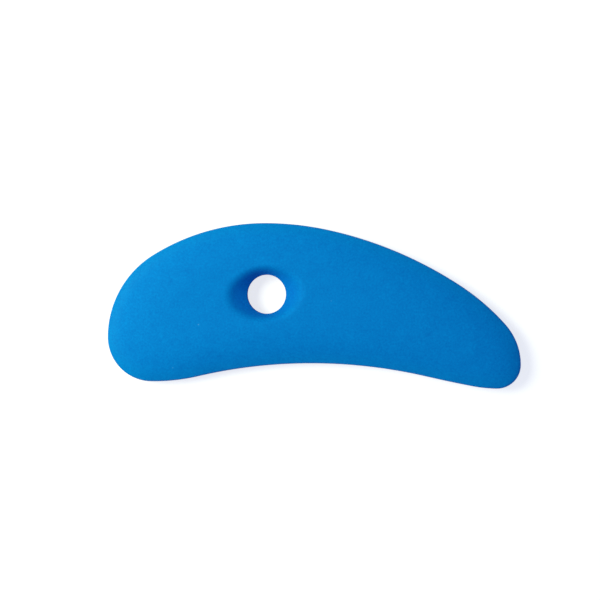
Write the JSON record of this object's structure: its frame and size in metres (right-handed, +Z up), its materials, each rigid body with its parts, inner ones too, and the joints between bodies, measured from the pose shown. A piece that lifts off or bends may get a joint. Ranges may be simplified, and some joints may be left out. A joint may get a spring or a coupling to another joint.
{
  "type": "pottery rib",
  "caption": "Kidney-shaped flexible pottery rib, crowned on both faces down to a thin rounded edge, with a dished finger hole for grip and hanging.",
  "frame": {"origin": "under the middle of the rib's outline, on the surface that it lies flat on", "axes": "+X along the rib from the broad heel to the narrow toe, +Y from the hollow belly to the convex back, +Z up through the rib's thickness"},
  "size_m": [0.14, 0.0546, 0.01],
  "materials": {
    "rib_silicone": "matte blue, dyed through, with a fine even grain from the mould"
  },
  "bodies": {
    "root": {"rib": "rib_silicone"}
  },
  "joints": []
}
